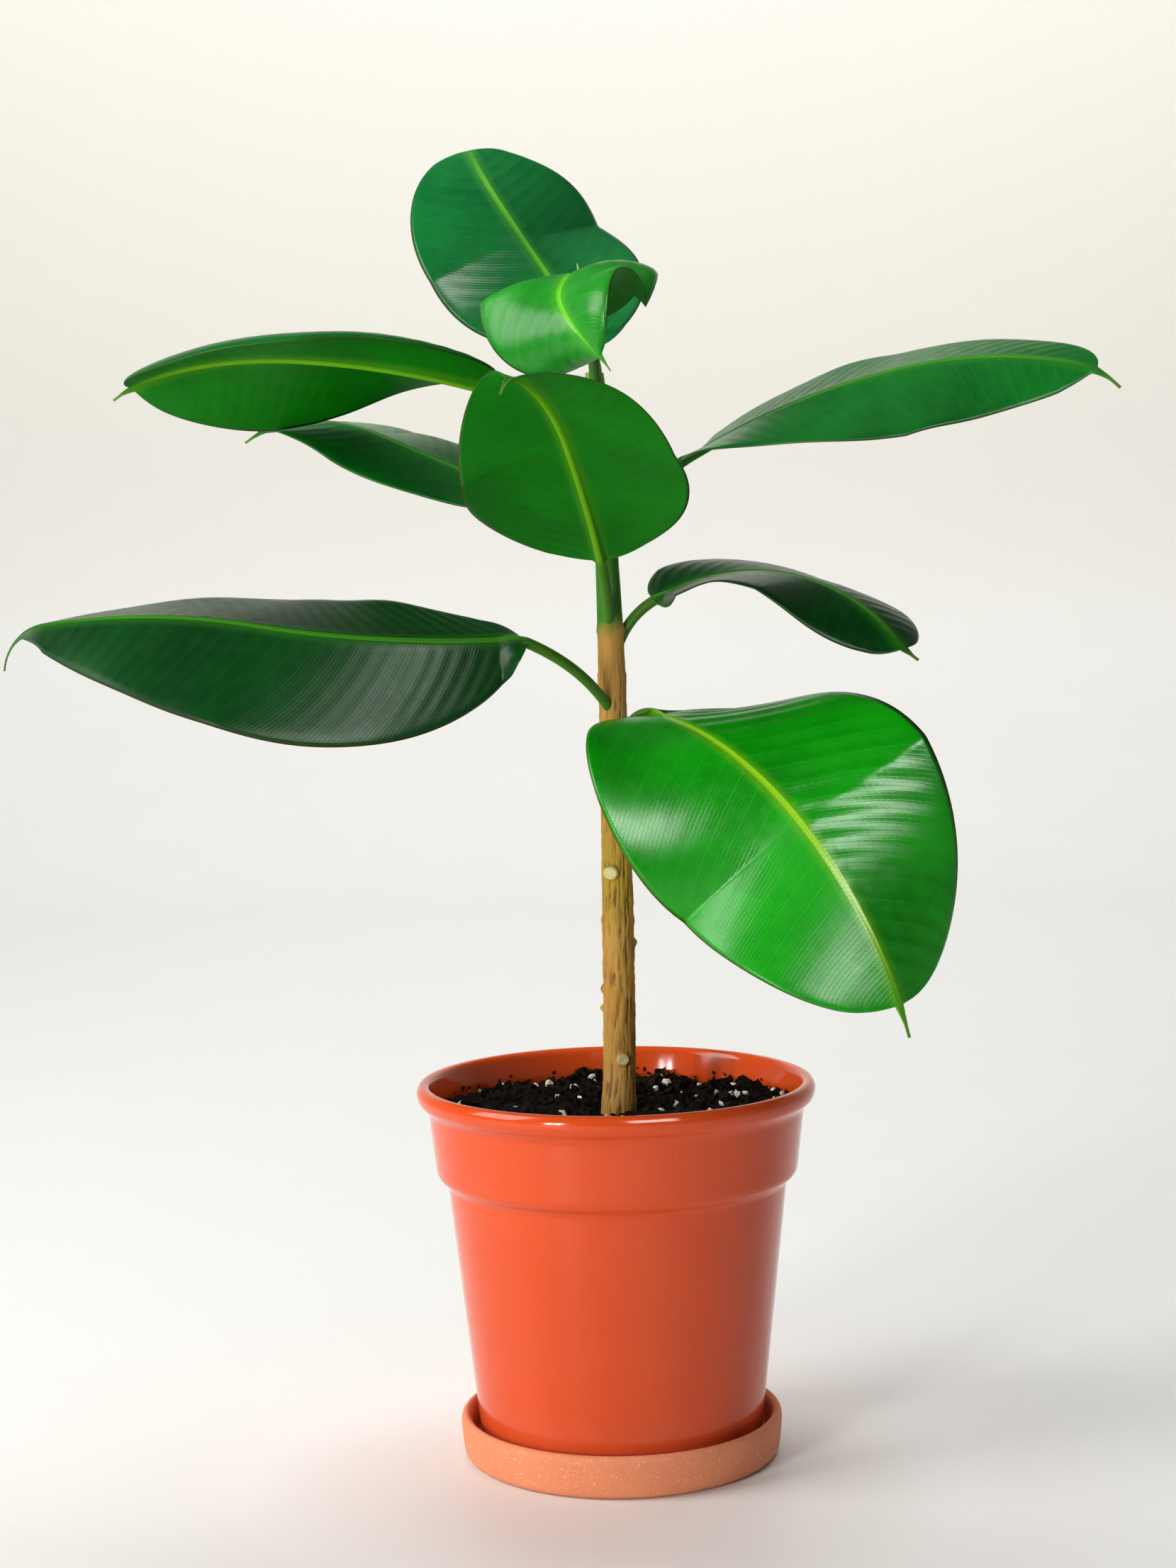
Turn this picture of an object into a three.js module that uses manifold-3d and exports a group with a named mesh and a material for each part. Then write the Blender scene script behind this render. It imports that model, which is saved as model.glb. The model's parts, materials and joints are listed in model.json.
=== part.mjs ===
// Potted rubber plant: a plastic pot on a clay saucer, soil, one stem, a bud and nine leaves.
// Millimetres, +Z up. The origin is the centre of the saucer's underside.
// The viewer stands on the -Y side, so +X is to the right of the plant.
import * as THREE from "three";
import { mergeVertices } from "three/addons/utils/BufferGeometryUtils.js";
import Module from "manifold-3d";

const wasm = await Module();
wasm.setup();

// ---------- driving dimensions ----------
const GAP = 0.3; // free space left between touching pieces
const AROUND = 48; // flats around the pot, the saucer and the soil

const SAUCER = { radius: 77, foot: 74, height: 20.8, wall: 5, floor: 6 };
const POT = {
  foot: 66.5, // radius of the foot
  waist: 80.8, // radius just under the collar
  collarLow: 86.2,
  collarHigh: 89.4,
  rim: 95,
  rimInner: 88.5,
  wall: 3.2,
  stepZ: 133, // height of the step under the collar
  collarZ: 167, // height where the rim bead starts
  top: 179.8,
};
const DRAIN = { count: 6, radius: 5, circle: 42 };
const SOIL = { centre: 159, bump: 3 };
// The stem as rows of height, sideways shift and radius.
const STEM = {
  line: [
    [122, 1.0, 7.0],
    [156, 1.0, 7.6],
    [164, 1.2, 8.4],
    [176, 1.8, 7.7],
    [215, 2.4, 7.5],
    [253, 2.5, 7.4],
    [256, 2.5, 8.1],
    [259, 2.5, 7.3],
    [310, 2.5, 7.0],
    [362, 1.9, 6.5],
    [372, 1.8, 6.9],
    [376, 1.7, 6.4],
    [390, 1.5, 6.2],
    [393, 1.5, 6.8],
    [397, 1.3, 6.1],
    [424, 0.5, 5.5],
    [450, -0.5, 5.5],
    [484, -2.4, 5.0],
    [506, -3.4, 4.8],
    [514, -3.9, 4.4],
  ],
  sides: 16,
};
// Healed cuts and spurs: height, compass direction, reach from the axis, radius.
const STUBS = [
  [279, -112, 9.4, 3.6],
  [190, -78, 9.2, 3.0],
  [245, 2, 9.0, 2.6],
  [214, 184, 9.2, 2.2],
  [223, 182, 8.8, 2.6],
  [286, -118, 7.6, 1.4],
];
const BUD = { foot: 514.3, length: 51, radius: 2.9, x: -4, y: 2.2, lean: -7 };

// Each leaf follows one line that leaves the stem and turns steadily along its length.
// z: height of its foot on the stem; az: compass direction at the foot, mid-blade and tip
// (0 = +X, -90 = toward the viewer); el: slope at the foot, blade base, mid-blade and tip;
// stalk, blade, width: lengths; roll: twist at the blade base, mid-blade and tip;
// foldL/foldR: how far each half is folded up; curlL/curlR: further bend out to the margin;
// p, q: where the outline is widest and how full it is; hook: extra turn of the last eighth;
// bend: extra slope of the stalk that the blade's first 12 mm takes back.
const LEAVES = {
  leaf_top_upright: {
    z: 494, az: [84, 154, 103], el: [75, 41, 55, 42], stalk: 40, blade: 157, width: 108,
    roll: [-16, -23, -9], foldL: [-7, -19, -2], foldR: [11, 0, 3],
    curlL: [-6, -8, -2], curlR: [-1, 0, -1], p: 1.04, q: 0.57, hook: -75, bend: 0, colour: 0x2f7a33,
  },
  leaf_young_arched: {
    z: 508, az: [-95, -108, 7], el: [90, 60, -36, -52], stalk: 30, blade: 118, width: 87,
    roll: [23, 6, 115], foldL: [29, 16, 76], foldR: [11, 13, -43],
    curlL: [-51, -85, -62], curlR: [-22, -33, -40], p: 0.91, q: 0.5, hook: -6, bend: 0, colour: 0x6fae3a,
  },
  leaf_upper_left: {
    z: 484, az: [207, 174, 142], el: [33, 16, 4, -18], stalk: 46, blade: 200, width: 105,
    roll: [-6, -5, 1], foldL: [59, 39, 11], foldR: [9, -24, -48],
    curlL: [-73, -60, -49], curlR: [7, -26, -39], p: 0.86, q: 0.57, hook: -7, bend: 0, colour: 0x3f6b2c,
  },
  leaf_middle_left: {
    z: 448.6, az: [178, 158, 148], el: [-1, 26, 23, -22], stalk: 36, blade: 158, width: 82,
    roll: [-21, -6, -2], foldL: [-13, -15, 0], foldR: [7, -3, 0],
    curlL: [0, 0, 0], curlR: [0, 0, 0], p: 0.89, q: 0.6, hook: -6, bend: 0, colour: 0x23602c,
  },
  leaf_front_centre: {
    z: 398, az: [-95, -106, -117], el: [53, 35, 39, 2], stalk: 40, blade: 158, width: 102,
    roll: [2, 1, -4], foldL: [5, -1, 14], foldR: [4, -8, 18],
    curlL: [-5, -12, 8], curlR: [-7, -29, 13], p: 0.86, q: 0.66, hook: -58, bend: 0, colour: 0x4b7a35,
  },
  leaf_upper_right: {
    z: 440, az: [-31, -10, -37], el: [50, 29, 12, -21], stalk: 49, blade: 213, width: 102,
    roll: [10, 15, 21], foldL: [12, -1, 3], foldR: [0, -25, -34],
    curlL: [0, 0, 0], curlR: [0, -2, -3], p: 0.89, q: 0.58, hook: -24, bend: 0, colour: 0x1f6b30,
  },
  leaf_middle_right: {
    z: 387, az: [20, -34, -55], el: [68, 30, -16, -50], stalk: 27, blade: 153, width: 91,
    roll: [21, 2, 8], foldL: [18, 1, -2], foldR: [20, -7, -30],
    curlL: [-15, -37, 2], curlR: [-3, 4, 6], p: 0.75, q: 0.48, hook: 25, bend: 0, colour: 0x1b5a2a,
  },
  leaf_lower_left: {
    z: 357, az: [241, 169, 176], el: [39, -3, 10, -13], stalk: 65, blade: 256, width: 111,
    roll: [-35, -19, -18], foldL: [-48, -35, -33], foldR: [-3, -5, -15],
    curlL: [-5, -1, -3], curlR: [-4, -1, -2], p: 0.94, q: 0.69, hook: -73, bend: 23, colour: 0x1e5f2b,
  },
  leaf_lower_right: {
    z: 329, az: [-67, -38, -13], el: [79, -6, -46, -77], stalk: 48, blade: 211, width: 139,
    roll: [4, 35, 26], foldL: [-5, 9, 0], foldR: [3, -30, -26],
    curlL: [-2, 10, -2], curlR: [8, -9, -9], p: 0.83, q: 0.39, hook: 2, bend: 0, colour: 0x3c8a34,
  },
};
const LEAF = {
  stalkRings: 6,
  bladeRings: 18,
  thick: 0.9, // thickness of the blade away from the midrib
  stalkRadius: 2.5,
  ribEnd: 0.7, // radius of the midrib at the tip
  tipHalf: 2.4, // half width where the narrow tip starts
  tipFrom: 0.93, // share of the blade where the narrow tip starts
};

// ---------- small tools ----------
const RAD = Math.PI / 180;

function along(xs, vs, x) {
  if (x <= xs[0]) return vs[0];
  for (let i = 1; i < xs.length; i += 1) {
    if (x <= xs[i]) {
      const f = (x - xs[i - 1]) / (xs[i] - xs[i - 1]);
      return vs[i - 1] + (vs[i] - vs[i - 1]) * f;
    }
  }
  return vs[vs.length - 1];
}

function solid(geometry) {
  const bare = geometry.clone();
  bare.deleteAttribute("normal");
  bare.deleteAttribute("uv");
  const merged = mergeVertices(bare, 1e-4);
  return new wasm.Manifold(new wasm.Mesh({
    numProp: 3,
    vertProperties: new Float32Array(merged.attributes.position.array),
    triVerts: new Uint32Array(merged.index.array),
  }));
}

function geometryOf(body) {
  const mesh = body.getMesh();
  const geometry = new THREE.BufferGeometry();
  geometry.setAttribute("position", new THREE.BufferAttribute(new Float32Array(mesh.vertProperties), 3));
  geometry.setIndex(new THREE.BufferAttribute(new Uint32Array(mesh.triVerts), 1));
  geometry.computeVertexNormals();
  return geometry;
}

// Skins a list of rings, each a list of points, and closes both ends with a fan.
// On a mirrored skin the second half of each ring takes the other diagonal, so that the upper
// and lower skins of a thin blade fold along the same lines.
function loft(rings, mirrored = false) {
  const n = rings[0].length;
  const vertices = rings.flat().flatMap((v) => [v.x, v.y, v.z]);
  const faces = [];
  for (let i = 0; i + 1 < rings.length; i += 1) {
    for (let j = 0; j < n; j += 1) {
      const a = i * n + j;
      const b = i * n + ((j + 1) % n);
      if (mirrored && j >= n / 2) faces.push(a, b, a + n, b, b + n, a + n);
      else faces.push(a, b, b + n, a, b + n, a + n);
    }
  }
  for (const last of [false, true]) {
    const ring = last ? rings.at(-1) : rings[0];
    const start = last ? (rings.length - 1) * n : 0;
    const centre = ring.reduce((sum, v) => sum.add(v), new THREE.Vector3()).divideScalar(n);
    const c = vertices.length / 3;
    vertices.push(centre.x, centre.y, centre.z);
    for (let j = 0; j < n; j += 1) {
      const a = start + j;
      const b = start + ((j + 1) % n);
      faces.push(...(last ? [a, b, c] : [b, a, c]));
    }
  }
  const geometry = new THREE.BufferGeometry();
  geometry.setAttribute("position", new THREE.Float32BufferAttribute(vertices, 3));
  geometry.setIndex(faces);
  return geometry;
}

// Turns a closed profile of [radius, height] points about the Z axis.
function turned(profile) {
  const points = profile.map(([r, z]) => new THREE.Vector2(r, z));
  return new THREE.LatheGeometry(points, AROUND).rotateX(Math.PI / 2);
}

function circle(radius, count, x, y, z) {
  const ring = [];
  for (let j = 0; j < count; j += 1) {
    const a = (j / count) * 2 * Math.PI;
    ring.push(new THREE.Vector3(x + radius * Math.cos(a), y + radius * Math.sin(a), z));
  }
  return ring;
}

const group = new THREE.Group();

function add(name, body, colour, roughness) {
  const material = new THREE.MeshStandardMaterial({ color: colour, roughness, metalness: 0 });
  const mesh = new THREE.Mesh(geometryOf(body), material);
  mesh.name = name;
  group.add(mesh);
}

// ---------- saucer ----------
const inner = SAUCER.radius - SAUCER.wall;
add("saucer", solid(turned([
  [0, 0],
  [SAUCER.foot - 1.5, 0],
  [SAUCER.foot + 1.2, 1.6],
  [SAUCER.radius - 0.8, 7],
  [SAUCER.radius, SAUCER.height - 4],
  [SAUCER.radius - 0.6, SAUCER.height - 1.4],
  [SAUCER.radius - 2.4, SAUCER.height],
  [inner + 0.8, SAUCER.height - 1.2],
  [inner, SAUCER.height - 3.5],
  [inner - 1, SAUCER.floor + 2],
  [inner - 2.6, SAUCER.floor],
  [0, SAUCER.floor],
])), 0xd08a62, 0.9);

// ---------- pot ----------
const potFoot = SAUCER.floor + GAP;
const potInside = [
  [POT.foot - 4, potFoot + 4],
  [POT.foot - 1.6, potFoot + 7],
  [POT.waist - POT.wall - 0.4, POT.stepZ - 2],
  [POT.collarLow - POT.wall, POT.stepZ + 4],
  [POT.collarHigh - POT.wall, POT.collarZ + 1],
];
let pot = solid(turned([
  [0, potFoot],
  [POT.foot - 3, potFoot],
  [POT.foot - 0.4, potFoot + 1.2],
  [POT.foot + 0.9, potFoot + 4.5],
  [POT.waist, POT.stepZ - 2],
  [POT.waist + 1.2, POT.stepZ],
  [POT.collarLow - 1, POT.stepZ + 2.6],
  [POT.collarLow, POT.stepZ + 5],
  [POT.collarHigh, POT.collarZ - 1],
  [POT.collarHigh + 1.4, POT.collarZ + 1.6],
  [POT.rim - 1, POT.collarZ + 4.2],
  [POT.rim, POT.collarZ + 7.2],
  [POT.rim, POT.top - 3],
  [POT.rim - 1.4, POT.top - 0.6],
  [POT.rim - 3, POT.top],
  [POT.rimInner + 1, POT.top - 0.6],
  [POT.rimInner, POT.top - 2.4],
  ...potInside.toReversed(),
  [0, potFoot + 4],
]));
for (let i = 0; i < DRAIN.count; i += 1) {
  const angle = (i / DRAIN.count) * 2 * Math.PI;
  const hole = new THREE.CylinderGeometry(DRAIN.radius, DRAIN.radius, 20, 12);
  hole.rotateX(Math.PI / 2);
  hole.translate(DRAIN.circle * Math.cos(angle), DRAIN.circle * Math.sin(angle), potFoot + 2);
  pot = pot.subtract(solid(hole));
}
add("pot", pot, 0xc65a34, 0.25);

// ---------- stem ----------
const stemZ = STEM.line.map((row) => row[0]);
const stemX = STEM.line.map((row) => row[1]);

// The stem, grown outward on every side by the given amount.
function stemBody(grow) {
  const last = STEM.line.length - 1;
  const rings = STEM.line.map(([z, x, r], i) => {
    const end = i === 0 ? -grow : i === last ? grow : 0;
    return circle(r + grow, STEM.sides, x, 0, z + end);
  });
  let body = solid(loft(rings));
  for (const [z, az, reach, r] of STUBS) {
    const stub = new THREE.CylinderGeometry(r * 0.86 + grow, r + grow, reach + grow, 12);
    stub.translate(0, (reach + grow) / 2, 0);
    stub.rotateZ(-Math.PI / 2);
    stub.rotateZ(az * RAD);
    stub.translate(along(stemZ, stemX, z), 0, z);
    body = body.add(solid(stub));
  }
  return body;
}
const stemClear = stemBody(GAP);
add("stem", stemBody(0), 0x7d7046, 0.85);

// ---------- soil ----------
function soilTop(r, a) {
  const x = r * Math.cos(a);
  const y = r * Math.sin(a);
  const mound = 5 * Math.exp(-((x - 48) ** 2 + (y + 5) ** 2) / 900);
  const dip = -4 * Math.exp(-((x - 22) ** 2 + (y - 30) ** 2) / 500);
  const ripple = 1.3 * Math.sin(x / 13 + 1) * Math.cos(y / 11) + 0.8 * Math.sin(x / 7 - y / 9);
  return SOIL.centre + SOIL.bump * (r / 80) ** 2 + mound + dip + ripple;
}
const soilSide = [
  [POT.foot - 4 - GAP, potFoot + 4 + GAP],
  [POT.foot - 1.6 - GAP, potFoot + 7 + GAP],
  [POT.waist - POT.wall - 0.4 - GAP, POT.stepZ - 2],
  [POT.collarLow - POT.wall - GAP, POT.stepZ + 4.2],
  [84.2, 155],
];
const soilRings = soilSide.map(([r, z]) => circle(r, AROUND, 0, 0, z));
for (const r of [84.1, 70, 54, 38, 24, 12]) {
  const ring = circle(r, AROUND, 0, 0, 0);
  ring.forEach((v, j) => v.setZ(soilTop(r, (j / AROUND) * 2 * Math.PI)));
  soilRings.push(ring);
}
add("soil", solid(loft(soilRings)).subtract(stemClear), 0x2a201a, 0.95);

// ---------- terminal bud ----------
const budRings = [];
for (let i = 0; i <= 9; i += 1) {
  const t = i / 9;
  const r = BUD.radius * Math.max(0.09, Math.sin(Math.PI * (0.28 + 0.7 * t)) ** 0.9);
  budRings.push(circle(r, 12, BUD.x + BUD.lean * t ** 1.4, BUD.y, BUD.foot + BUD.length * t));
}
add("terminal_bud", solid(loft(budRings)).subtract(stemClear), 0x8ab84a, 0.4);

// ---------- leaves ----------
function halfWidth(u, leaf) {
  const s = Math.sin(Math.PI * Math.min(1, u / LEAF.tipFrom) ** leaf.p);
  const w = (leaf.width / 2) * Math.max(0, s) ** leaf.q;
  const tip = u > 0.9 ? LEAF.tipHalf * Math.min(1.2, (1 - u) / (1 - LEAF.tipFrom)) : 0;
  return Math.cbrt(w ** 3 + tip ** 3);
}

// Where a point at distance d from the midrib lies: sideways and upward.
function bent(fold, curl, d, w) {
  const c = Math.abs(curl) < 1e-3 ? 1e-3 : curl;
  const tilt = fold + (c * d) / w;
  const x = (w * (Math.sin(tilt) - Math.sin(fold))) / c;
  const z = (w * (Math.cos(fold) - Math.cos(tilt))) / c;
  return [x, z];
}

// The middle surface of one row across a leaf, from the left margin to the right one, with how
// far the skins stand off it: "thin" for the blade and "round" for the stalk and the midrib.
function rowAt(leaf, u, at, side, up) {
  const grown = Math.min(1, Math.max(0, u) / 0.06);
  const rib = LEAF.stalkRadius + (LEAF.ribEnd - LEAF.stalkRadius) * Math.max(0, u) ** 0.7;
  const wide = Math.max(rib * 1.02, u > 0 ? halfWidth(u, leaf) : 0);
  const thin = Math.max(0.1, Math.min(1, wide / 4)) * (LEAF.thick / 2) * grown;
  const pick = (name) => along([0, 0.5, 1], leaf[name], Math.max(0, u)) * RAD * grown;
  const half = (sign, fold, curl) => [[0, 0], [0.38, 0], [0.7, 0.3], [0.92, 0.65], [1, 1]].map(([a, b]) => {
    const d = rib * a + (wide - rib) * b;
    const [x, z] = bent(fold, curl, d, wide);
    const mid = at.clone().addScaledVector(side, sign * x).addScaledVector(up, z);
    return { mid, round: Math.sqrt(Math.max(0, rib * rib - d * d)) };
  });
  const left = half(1, pick("foldL"), pick("curlL"));
  const right = half(-1, pick("foldR"), pick("curlR"));
  return { points: [...left.toReversed(), ...right.slice(1)], thin, grown, up };
}

// One closed ring: over the top from the left margin to the right one, and back underneath.
function ringOf(rows, i) {
  const { points, thin, grown, up } = rows[i];
  const before = rows[Math.max(0, i - 1)].points;
  const after = rows[Math.min(rows.length - 1, i + 1)].points;
  const skin = (k, top) => {
    const across = points[k + 1].mid.clone().sub(points[k - 1].mid);
    const normal = across.cross(after[k].mid.clone().sub(before[k].mid)).normalize();
    const round = points[k].round * (top ? 1 - 0.85 * grown : -1);
    return points[k].mid.clone().addScaledVector(normal, top ? thin : -thin).addScaledVector(up, round);
  };
  const inner = [1, 2, 3, 4, 5, 6, 7];
  return [
    points[0].mid,
    ...inner.map((k) => skin(k, true)),
    points[8].mid,
    ...inner.toReversed().map((k) => skin(k, false)),
  ];
}

function leafBody(leaf) {
  const { stalk, blade } = leaf;
  const total = stalk + blade;
  const places = [];
  for (let i = 0; i < LEAF.stalkRings; i += 1) places.push((stalk * i) / LEAF.stalkRings);
  for (let i = 0; i <= LEAF.bladeRings; i += 1) {
    const t = i / LEAF.bladeRings;
    places.push(stalk + blade * (t - 0.06 * Math.sin(2 * Math.PI * t)));
  }
  const start = leaf.az[0] * RAD;
  const footX = along(stemZ, stemX, leaf.z) + 4 * Math.cos(start);
  const at = new THREE.Vector3(footX, 4 * Math.sin(start), leaf.z);
  const rows = [];
  const step = total / 400;
  for (let k = 0; rows.length < places.length; k += 1) {
    const s = k * step;
    const u = (s - stalk) / blade;
    const az = along([0, stalk + blade / 2, total], leaf.az, s) * RAD;
    const hook = leaf.hook * Math.min(1, Math.max(0, (u - 0.88) / 0.12));
    const stops = [0, stalk, stalk + blade / 2, total];
    const knee = leaf.bend * Math.max(0, Math.min(s / stalk, 1 - (s - stalk) / 12));
    const el = (along(stops, leaf.el, s) + hook + knee) * RAD;
    const roll = along(stops, [0, ...leaf.roll], s) * RAD;
    const forward = new THREE.Vector3(Math.cos(el) * Math.cos(az), Math.cos(el) * Math.sin(az), Math.sin(el));
    const flat = new THREE.Vector3(-Math.sin(az), Math.cos(az), 0);
    const raised = forward.clone().cross(flat);
    const side = flat.clone().multiplyScalar(Math.cos(roll)).addScaledVector(raised, Math.sin(roll));
    const up = raised.clone().multiplyScalar(Math.cos(roll)).addScaledVector(flat, -Math.sin(roll));
    if (s >= places[rows.length] - 1e-6) rows.push(rowAt(leaf, Math.min(1, u), at, side, up));
    at.addScaledVector(forward, step);
  }
  return solid(loft(rows.map((row, i) => ringOf(rows, i)), true));
}

for (const [name, leaf] of Object.entries(LEAVES)) {
  add(name, leafBody(leaf).subtract(stemClear), leaf.colour, 0.35);
}

export default group;
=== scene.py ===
# %% [markdown]
# # A potted rubber plant
# A young rubber plant stands in a glossy terracotta-coloured plastic nursery pot, on an unglazed
# clay saucer. The packed CAD model is the fixed frame: it says where each piece is and how big it
# is. Each step below rebuilds one piece with the finer shape and the finish of the real thing.
# Lengths are in metres in the meshes; plans are written in millimetres, because pots and leaves
# are small, and are turned into metres when a mesh is made.

# %% Open the frame
import json
import math

import bmesh
import bpy
import numpy as np
from mathutils import Matrix, Vector, noise

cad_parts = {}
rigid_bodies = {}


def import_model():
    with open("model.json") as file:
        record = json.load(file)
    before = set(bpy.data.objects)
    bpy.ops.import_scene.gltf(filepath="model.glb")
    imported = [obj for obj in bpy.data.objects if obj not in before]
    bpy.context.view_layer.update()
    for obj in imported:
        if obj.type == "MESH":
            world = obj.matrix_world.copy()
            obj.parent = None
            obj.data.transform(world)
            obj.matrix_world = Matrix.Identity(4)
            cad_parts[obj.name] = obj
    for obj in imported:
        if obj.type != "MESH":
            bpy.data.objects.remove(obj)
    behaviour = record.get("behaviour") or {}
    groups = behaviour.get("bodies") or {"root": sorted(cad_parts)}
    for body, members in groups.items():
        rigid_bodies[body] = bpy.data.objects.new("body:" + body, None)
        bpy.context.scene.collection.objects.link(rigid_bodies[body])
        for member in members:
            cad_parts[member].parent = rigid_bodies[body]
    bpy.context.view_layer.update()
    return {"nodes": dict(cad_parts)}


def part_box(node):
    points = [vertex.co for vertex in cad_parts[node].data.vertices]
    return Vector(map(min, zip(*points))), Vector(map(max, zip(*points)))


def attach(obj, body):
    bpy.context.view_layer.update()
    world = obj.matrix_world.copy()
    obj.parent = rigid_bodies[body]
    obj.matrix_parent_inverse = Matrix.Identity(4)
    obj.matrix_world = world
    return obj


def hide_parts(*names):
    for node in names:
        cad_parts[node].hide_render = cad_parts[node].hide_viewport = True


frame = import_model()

MM = 0.001
print("frame nodes:", ", ".join(sorted(frame["nodes"])))

# %% [markdown]
# ## Camera
# The plant is seen from a little above the pot's rim, from about 1.2 m, with a lens of 59 mm on a
# frame 36 mm long. The camera is tipped down by under four degrees and leans by one. It is placed
# by its own axes, so that each angle can be read off.

# %% Place the camera
CAMERA = {"focal": 58.6, "away": 1.2075, "height": 0.4002, "down": 3.758, "lean": -1.09, "turn": -0.499}


def camera_matrix(plan):
    down, lean, turn = (math.radians(plan[key]) for key in ("down", "lean", "turn"))
    forward = Vector((math.sin(turn) * math.cos(down), math.cos(turn) * math.cos(down), -math.sin(down)))
    level = Vector((math.cos(turn), -math.sin(turn), 0))
    raised = level.cross(forward)
    right = level * math.cos(lean) + raised * math.sin(lean)
    up = raised * math.cos(lean) - level * math.sin(lean)
    place = Vector((0, -plan["away"], plan["height"]))
    return Matrix.Translation(place) @ Matrix((right, up, -forward)).transposed().to_4x4()


camera = bpy.data.objects.new("camera", bpy.data.cameras.new("camera"))
camera.data.lens = CAMERA["focal"]
camera.data.sensor_width = 36
camera.data.clip_end = 50
camera.matrix_world = camera_matrix(CAMERA)
bpy.context.collection.objects.link(camera)
bpy.context.scene.camera = camera
print("camera at", [round(v, 3) for v in camera.matrix_world.translation])

# %% [markdown]
# ## Tools for meshes
# Most pieces are skins over a grid of points: rings round a stem, rings round a pot, strips across
# a leaf. One helper turns such a grid into quads, another gives the mesh its finish, its name and
# its place in the frame. Every point is written where it belongs, so the objects stay at the origin.

# %% Mesh helpers
def grid_faces(rows, columns, wrap=True):
    """Quads over rows x columns points; wrap joins each row's end to its start."""
    i, j = np.meshgrid(np.arange(rows - 1), np.arange(columns if wrap else columns - 1), indexing="ij")
    a = i * columns + j
    b = i * columns + (j + 1) % columns
    return np.stack([a, b, b + columns, a + columns], -1).reshape(-1, 4)


def mesh_object(name, points_mm, faces, finishes, attributes=None, smooth=True):
    """A mesh object from points in millimetres. attributes maps a name to one number per point."""
    mesh = bpy.data.meshes.new(name)
    points = np.asarray(points_mm, float).reshape(-1, 3) * MM
    mesh.from_pydata(points.tolist(), [], [list(map(int, face)) for face in faces])
    for finish in finishes:
        mesh.materials.append(finish)
    for key, values in (attributes or {}).items():
        layer = mesh.attributes.new(key, "FLOAT", "POINT")
        layer.data.foreach_set("value", np.asarray(values, np.float32).ravel())
    mesh.polygons.foreach_set("use_smooth", [smooth] * len(mesh.polygons))
    mesh.validate()
    mesh.update()
    thing = bpy.data.objects.new(name, mesh)
    bpy.context.collection.objects.link(thing)
    return thing


def stand_for(thing, node):
    """Says that a piece takes the place of a CAD node, and prints how the two boxes differ."""
    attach(thing, "root")
    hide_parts(node)
    low, high = (np.array(side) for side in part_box(node))
    points = np.array([v.co for v in thing.data.vertices])
    off = max(np.abs(points.min(0) - low).max(), np.abs(points.max(0) - high).max())
    print(f"{thing.name}: {len(thing.data.polygons)} faces, box within {off / MM:.1f} mm of {node}")


def fan(ring_start, count, centre, outward):
    """Triangles that close a ring of points around a centre point."""
    faces = []
    for j in range(count):
        a, b = ring_start + j, ring_start + (j + 1) % count
        faces.append((a, b, centre) if outward else (b, a, centre))
    return faces


def loft(rings):
    """Points and faces of a closed skin over rings that all have the same number of points."""
    rings = np.asarray(rings, float)
    rows, columns = rings.shape[:2]
    points = np.concatenate([rings.reshape(-1, 3), rings[0].mean(0)[None], rings[-1].mean(0)[None]])
    faces = [tuple(face) for face in grid_faces(rows, columns)]
    faces += fan(0, columns, rows * columns, False)
    faces += fan((rows - 1) * columns, columns, rows * columns + 1, True)
    return points, faces


# %% [markdown]
# ## Tools for finishes
# A finish is a small tree of shader nodes. A few helpers keep the trees short: one adds any node and
# wires its inputs, the others mix two colours, do arithmetic, make a soft step from a number, and
# read noise or an attribute. Patterns read each piece's own coordinates or attributes, so they stay
# put on the surface.

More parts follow.
